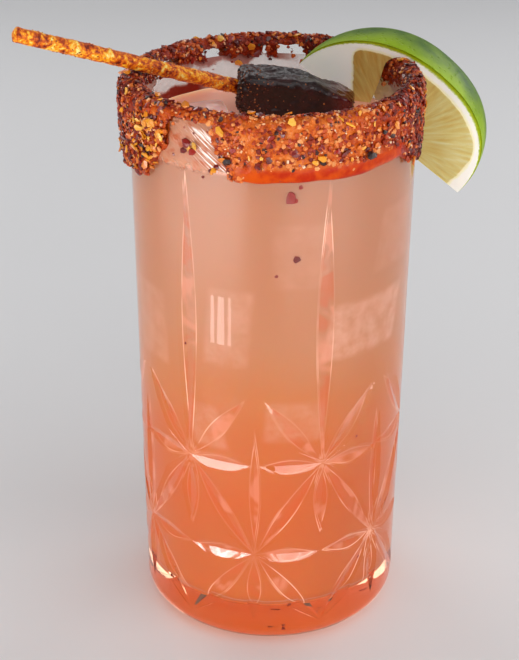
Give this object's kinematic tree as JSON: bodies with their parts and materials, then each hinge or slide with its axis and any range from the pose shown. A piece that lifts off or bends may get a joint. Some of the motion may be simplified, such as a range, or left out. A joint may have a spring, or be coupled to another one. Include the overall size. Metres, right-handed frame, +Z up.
{
  "type": "candy margarita",
  "caption": "Salmon-coloured candy margarita in a star-cut highball glass with a chilli rim, lime wedge, ice and a tamarind candy on a stick.",
  "frame": {"origin": "middle of the glass's flat foot, on the surface it stands on", "axes": "+Z up along the glass's axis, -Y towards the front, where the cut stars show widest; the stick's free end points to -X and the lime hangs at +X"},
  "size_m": [0.121, 0.0786, 0.1671],
  "materials": {
    "clear_glass": "clear polished glass with cut stars",
    "cloudy_drink": "cloudy salmon drink, more orange towards the foot",
    "chilli_coat": "chilli sauce crusted with red, orange and dark grains and salt",
    "lime": "wet lime: green skin, white pith, pale flesh",
    "dusted_stick": "pale stick dusted with chilli",
    "tamarind": "dark glossy tamarind candy",
    "ice": "wet clear ice"
  },
  "bodies": {
    "root": {"glass": "clear_glass", "drink": "cloudy_drink", "rim_coat": "chilli_coat", "lime_wedge": "lime", "candy_stick": "dusted_stick", "tamarind_candy": "tamarind", "ice_cube": "ice"}
  },
  "joints": []
}
